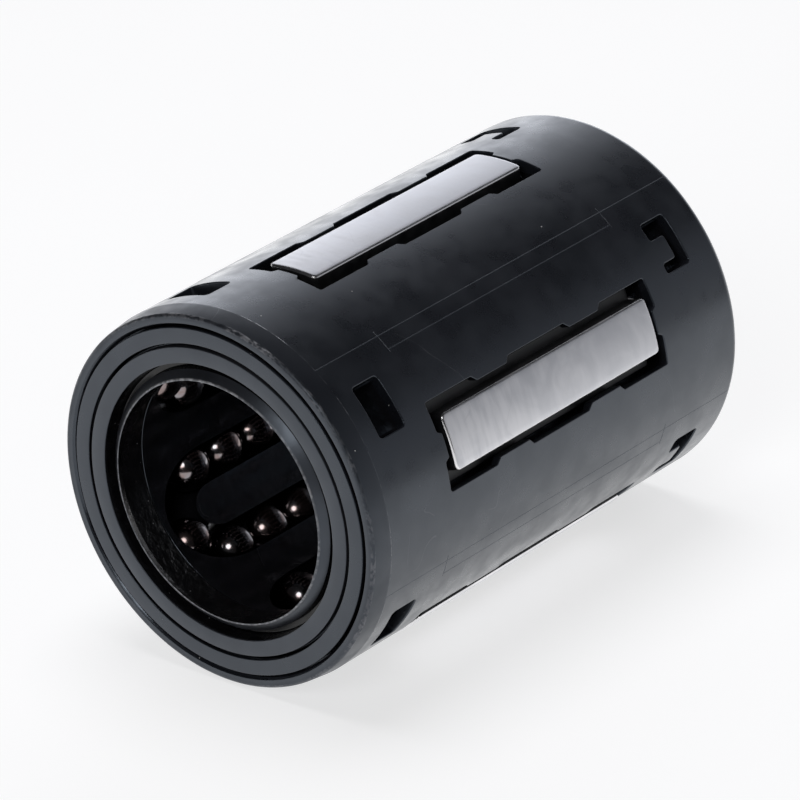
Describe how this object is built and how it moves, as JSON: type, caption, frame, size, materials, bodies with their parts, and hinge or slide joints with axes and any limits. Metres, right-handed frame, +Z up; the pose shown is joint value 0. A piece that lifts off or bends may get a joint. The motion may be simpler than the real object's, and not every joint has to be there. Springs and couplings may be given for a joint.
{
  "type": "linear ball bearing",
  "caption": "Compact linear ball bearing for a round shaft: plastic cage, steel raceway plates in notched windows, recirculating balls and an end seal at each end.",
  "frame": {"origin": "centre of the bearing, on the axis of its bore", "axes": "+X along the bore towards the rear end, +Z up through plate 1, +Y completes a right-handed frame"},
  "size_m": [0.028, 0.0188, 0.0189],
  "materials": {
    "cage_plastic": "moulded black plastic, fine satin surface",
    "seal_rubber": "smooth black sealing rubber, slightly oily at the lip",
    "plate_steel": "ground hardened steel",
    "ball_steel": "polished bearing steel"
  },
  "bodies": {
    "cage": {"cage_body": "cage_plastic", "front_seal": "seal_rubber", "rear_seal": "seal_rubber"},
    "plate_1": {"bearing_plate_1": "plate_steel"},
    "loaded_row_1": {"loaded_ball_1_1": "ball_steel", "loaded_ball_1_2": "ball_steel", "loaded_ball_1_3": "ball_steel", "loaded_ball_1_4": "ball_steel", "loaded_ball_1_5": "ball_steel", "loaded_ball_1_6": "ball_steel"},
    "return_row_1": {"return_balls_1": "ball_steel"},
    "front_turn_1": {"front_turn_balls_1": "ball_steel"},
    "rear_turn_1": {"rear_turn_balls_1": "ball_steel"},
    "plate_2": {"bearing_plate_2": "plate_steel"},
    "loaded_row_2": {"loaded_ball_2_1": "ball_steel", "loaded_ball_2_2": "ball_steel", "loaded_ball_2_3": "ball_steel", "loaded_ball_2_4": "ball_steel", "loaded_ball_2_5": "ball_steel", "loaded_ball_2_6": "ball_steel"},
    "return_row_2": {"return_balls_2": "ball_steel"},
    "front_turn_2": {"front_turn_balls_2": "ball_steel"},
    "rear_turn_2": {"rear_turn_balls_2": "ball_steel"},
    "plate_3": {"bearing_plate_3": "plate_steel"},
    "loaded_row_3": {"loaded_ball_3_1": "ball_steel", "loaded_ball_3_2": "ball_steel", "loaded_ball_3_3": "ball_steel", "loaded_ball_3_4": "ball_steel", "loaded_ball_3_5": "ball_steel", "loaded_ball_3_6": "ball_steel"},
    "return_row_3": {"return_balls_3": "ball_steel"},
    "front_turn_3": {"front_turn_balls_3": "ball_steel"},
    "rear_turn_3": {"rear_turn_balls_3": "ball_steel"},
    "plate_4": {"bearing_plate_4": "plate_steel"},
    "loaded_row_4": {"loaded_ball_4_1": "ball_steel", "loaded_ball_4_2": "ball_steel", "loaded_ball_4_3": "ball_steel", "loaded_ball_4_4": "ball_steel", "loaded_ball_4_5": "ball_steel", "loaded_ball_4_6": "ball_steel"},
    "return_row_4": {"return_balls_4": "ball_steel"},
    "front_turn_4": {"front_turn_balls_4": "ball_steel"},
    "rear_turn_4": {"rear_turn_balls_4": "ball_steel"},
    "plate_5": {"bearing_plate_5": "plate_steel"},
    "loaded_row_5": {"loaded_ball_5_1": "ball_steel", "loaded_ball_5_2": "ball_steel", "loaded_ball_5_3": "ball_steel", "loaded_ball_5_4": "ball_steel", "loaded_ball_5_5": "ball_steel", "loaded_ball_5_6": "ball_steel"},
    "return_row_5": {"return_balls_5": "ball_steel"},
    "front_turn_5": {"front_turn_balls_5": "ball_steel"},
    "rear_turn_5": {"rear_turn_balls_5": "ball_steel"}
  },
  "joints": [
    {"name": "plate_1_float", "type": "slide", "parent": "cage", "child": "plate_1", "axis": [0, 0, 1], "range_m": [-0.00005, 0.0001]},
    {"name": "ball_circuit_1", "type": "slide", "parent": "cage", "child": "loaded_row_1", "axis": [1, 0, 0], "range_m": [-0.0008, 0.0008]},
    {"name": "return_row_1_run", "type": "slide", "parent": "cage", "child": "return_row_1", "axis": [1, 0, 0], "range_m": [-0.0008, 0.0008]},
    {"name": "front_turn_1_run", "type": "hinge", "parent": "cage", "child": "front_turn_1", "pos_m": [-0.0083, -0.00223, 0.00687], "axis": [0, -0.309, 0.9511], "range_deg": [-19.7, 19.7]},
    {"name": "rear_turn_1_run", "type": "hinge", "parent": "cage", "child": "rear_turn_1", "pos_m": [0.0083, -0.00223, 0.00687], "axis": [0, -0.309, 0.9511], "range_deg": [-19.7, 19.7]},
    {"name": "plate_2_float", "type": "slide", "parent": "cage", "child": "plate_2", "axis": [0, -0.9511, 0.309], "range_m": [-0.00005, 0.0001]},
    {"name": "ball_circuit_2", "type": "slide", "parent": "cage", "child": "loaded_row_2", "axis": [1, 0, 0], "range_m": [-0.0008, 0.0008]},
    {"name": "return_row_2_run", "type": "slide", "parent": "cage", "child": "return_row_2", "axis": [1, 0, 0], "range_m": [-0.0008, 0.0008]},
    {"name": "front_turn_2_run", "type": "hinge", "parent": "cage", "child": "front_turn_2", "pos_m": [-0.0083, -0.00722, 0], "axis": [0, -1, 0], "range_deg": [-19.7, 19.7]},
    {"name": "rear_turn_2_run", "type": "hinge", "parent": "cage", "child": "rear_turn_2", "pos_m": [0.0083, -0.00722, 0], "axis": [0, -1, 0], "range_deg": [-19.7, 19.7]},
    {"name": "plate_3_float", "type": "slide", "parent": "cage", "child": "plate_3", "axis": [0, -0.5878, -0.809], "range_m": [-0.00005, 0.0001]},
    {"name": "ball_circuit_3", "type": "slide", "parent": "cage", "child": "loaded_row_3", "axis": [1, 0, 0], "range_m": [-0.0008, 0.0008]},
    {"name": "return_row_3_run", "type": "slide", "parent": "cage", "child": "return_row_3", "axis": [1, 0, 0], "range_m": [-0.0008, 0.0008]},
    {"name": "front_turn_3_run", "type": "hinge", "parent": "cage", "child": "front_turn_3", "pos_m": [-0.0083, -0.00223, -0.00687], "axis": [0, -0.309, -0.9511], "range_deg": [-19.7, 19.7]},
    {"name": "rear_turn_3_run", "type": "hinge", "parent": "cage", "child": "rear_turn_3", "pos_m": [0.0083, -0.00223, -0.00687], "axis": [0, -0.309, -0.9511], "range_deg": [-19.7, 19.7]},
    {"name": "plate_4_float", "type": "slide", "parent": "cage", "child": "plate_4", "axis": [0, 0.5878, -0.809], "range_m": [-0.00005, 0.0001]},
    {"name": "ball_circuit_4", "type": "slide", "parent": "cage", "child": "loaded_row_4", "axis": [1, 0, 0], "range_m": [-0.0008, 0.0008]},
    {"name": "return_row_4_run", "type": "slide", "parent": "cage", "child": "return_row_4", "axis": [1, 0, 0], "range_m": [-0.0008, 0.0008]},
    {"name": "front_turn_4_run", "type": "hinge", "parent": "cage", "child": "front_turn_4", "pos_m": [-0.0083, 0.00584, -0.00424], "axis": [0, 0.809, -0.5878], "range_deg": [-19.7, 19.7]},
    {"name": "rear_turn_4_run", "type": "hinge", "parent": "cage", "child": "rear_turn_4", "pos_m": [0.0083, 0.00584, -0.00424], "axis": [0, 0.809, -0.5878], "range_deg": [-19.7, 19.7]},
    {"name": "plate_5_float", "type": "slide", "parent": "cage", "child": "plate_5", "axis": [0, 0.9511, 0.309], "range_m": [-0.00005, 0.0001]},
    {"name": "ball_circuit_5", "type": "slide", "parent": "cage", "child": "loaded_row_5", "axis": [1, 0, 0], "range_m": [-0.0008, 0.0008]},
    {"name": "return_row_5_run", "type": "slide", "parent": "cage", "child": "return_row_5", "axis": [1, 0, 0], "range_m": [-0.0008, 0.0008]},
    {"name": "front_turn_5_run", "type": "hinge", "parent": "cage", "child": "front_turn_5", "pos_m": [-0.0083, 0.00584, 0.00424], "axis": [0, 0.809, 0.5878], "range_deg": [-19.7, 19.7]},
    {"name": "rear_turn_5_run", "type": "hinge", "parent": "cage", "child": "rear_turn_5", "pos_m": [0.0083, 0.00584, 0.00424], "axis": [0, 0.809, 0.5878], "range_deg": [-19.7, 19.7]}
  ],
  "couplings": [
    {"joint": "return_row_1_run", "follows": "ball_circuit_1", "ratio": -1},
    {"joint": "front_turn_1_run", "follows": "ball_circuit_1", "rad_per_m": -426.27},
    {"joint": "rear_turn_1_run", "follows": "ball_circuit_1", "rad_per_m": -426.27},
    {"joint": "return_row_2_run", "follows": "ball_circuit_2", "ratio": -1},
    {"joint": "front_turn_2_run", "follows": "ball_circuit_2", "rad_per_m": -426.27},
    {"joint": "rear_turn_2_run", "follows": "ball_circuit_2", "rad_per_m": -426.27},
    {"joint": "return_row_3_run", "follows": "ball_circuit_3", "ratio": -1},
    {"joint": "front_turn_3_run", "follows": "ball_circuit_3", "rad_per_m": -426.27},
    {"joint": "rear_turn_3_run", "follows": "ball_circuit_3", "rad_per_m": -426.27},
    {"joint": "return_row_4_run", "follows": "ball_circuit_4", "ratio": -1},
    {"joint": "front_turn_4_run", "follows": "ball_circuit_4", "rad_per_m": -426.27},
    {"joint": "rear_turn_4_run", "follows": "ball_circuit_4", "rad_per_m": -426.27},
    {"joint": "return_row_5_run", "follows": "ball_circuit_5", "ratio": -1},
    {"joint": "front_turn_5_run", "follows": "ball_circuit_5", "rad_per_m": -426.27},
    {"joint": "rear_turn_5_run", "follows": "ball_circuit_5", "rad_per_m": -426.27}
  ]
}
